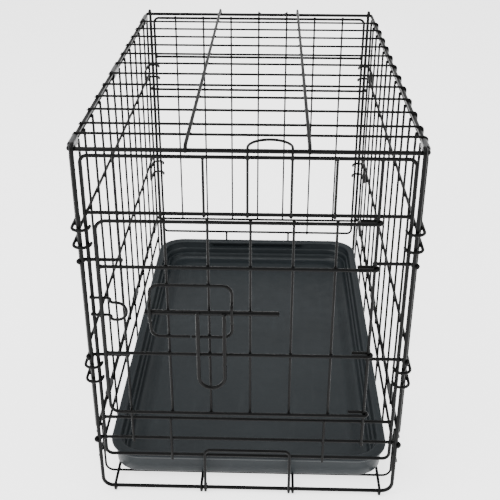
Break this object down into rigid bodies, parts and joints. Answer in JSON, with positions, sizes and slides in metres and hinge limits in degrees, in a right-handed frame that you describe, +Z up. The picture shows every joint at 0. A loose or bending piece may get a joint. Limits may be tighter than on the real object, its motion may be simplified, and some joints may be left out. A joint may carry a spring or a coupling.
{
  "type": "wire dog crate",
  "caption": "Folding wire dog crate for a small pet, with a hinged front door, a slide bolt, a pull-out plastic tray and a fold-down tray stop.",
  "frame": {"origin": "on the ground under the middle of the crate's bounding box", "axes": "+Z up; -Y towards the door; +X to the right as seen from the door"},
  "size_m": [0.3362, 0.5721, 0.4101],
  "materials": {
    "black_wire": "satin",
    "black_bar": "satin",
    "strip_steel": "satin",
    "tray_plastic": "satin"
  },
  "bodies": {
    "crate": {"front_hoop": "black_bar", "front_mesh_frame": "black_wire", "front_cross_rails": "black_wire", "front_uprights": "black_wire", "front_door_posts": "black_wire", "front_lock_arch": "black_wire", "bolt_keeper": "black_wire", "rear_hoop": "black_bar", "rear_mesh_frame": "black_wire", "rear_cross_rails": "black_wire", "rear_uprights": "black_wire", "rear_lock_arch": "black_wire", "roof_frame": "black_bar", "roof_cross_wires": "black_wire", "roof_stiffeners": "black_wire", "left_side_frame": "black_wire", "left_side_rails": "black_wire", "left_side_uprights": "black_wire", "left_latch_hooks": "black_wire", "right_side_frame": "black_wire", "right_side_rails": "black_wire", "right_side_uprights": "black_wire", "right_latch_hooks": "black_wire", "base_depth_wires": "black_wire", "base_floor_wires": "black_wire", "base_flange_rails": "black_wire", "upper_hinge_clips": "strip_steel", "lower_hinge_clips": "strip_steel", "tray": "tray_plastic"},
    "door": {"door_frame": "black_wire", "door_rails": "black_wire", "door_uprights": "black_wire", "bolt_guide": "black_wire"},
    "bolt": {"slide_bolt": "black_bar"},
    "handle": {"bolt_handle": "black_bar"},
    "stop": {"tray_stop": "black_wire"}
  },
  "joints": [
    {"name": "door_swing", "type": "hinge", "parent": "crate", "child": "door", "pos_m": [0.1224, -0.27508, 0.22], "axis": [0, 0, 1], "range_deg": [0, 160]},
    {"name": "bolt_slide", "type": "slide", "parent": "door", "child": "bolt", "axis": [-1, 0, 0], "range_m": [0, 0.034]},
    {"name": "handle_turn", "type": "hinge", "parent": "bolt", "child": "handle", "pos_m": [-0.0357, -0.27953, 0.2347], "axis": [-1, 0, 0], "range_deg": [0, 90]},
    {"name": "tray_stop_fold", "type": "hinge", "parent": "crate", "child": "stop", "pos_m": [0, -0.2757, 0.0054], "axis": [1, 0, 0], "range_deg": [0, 90]}
  ]
}
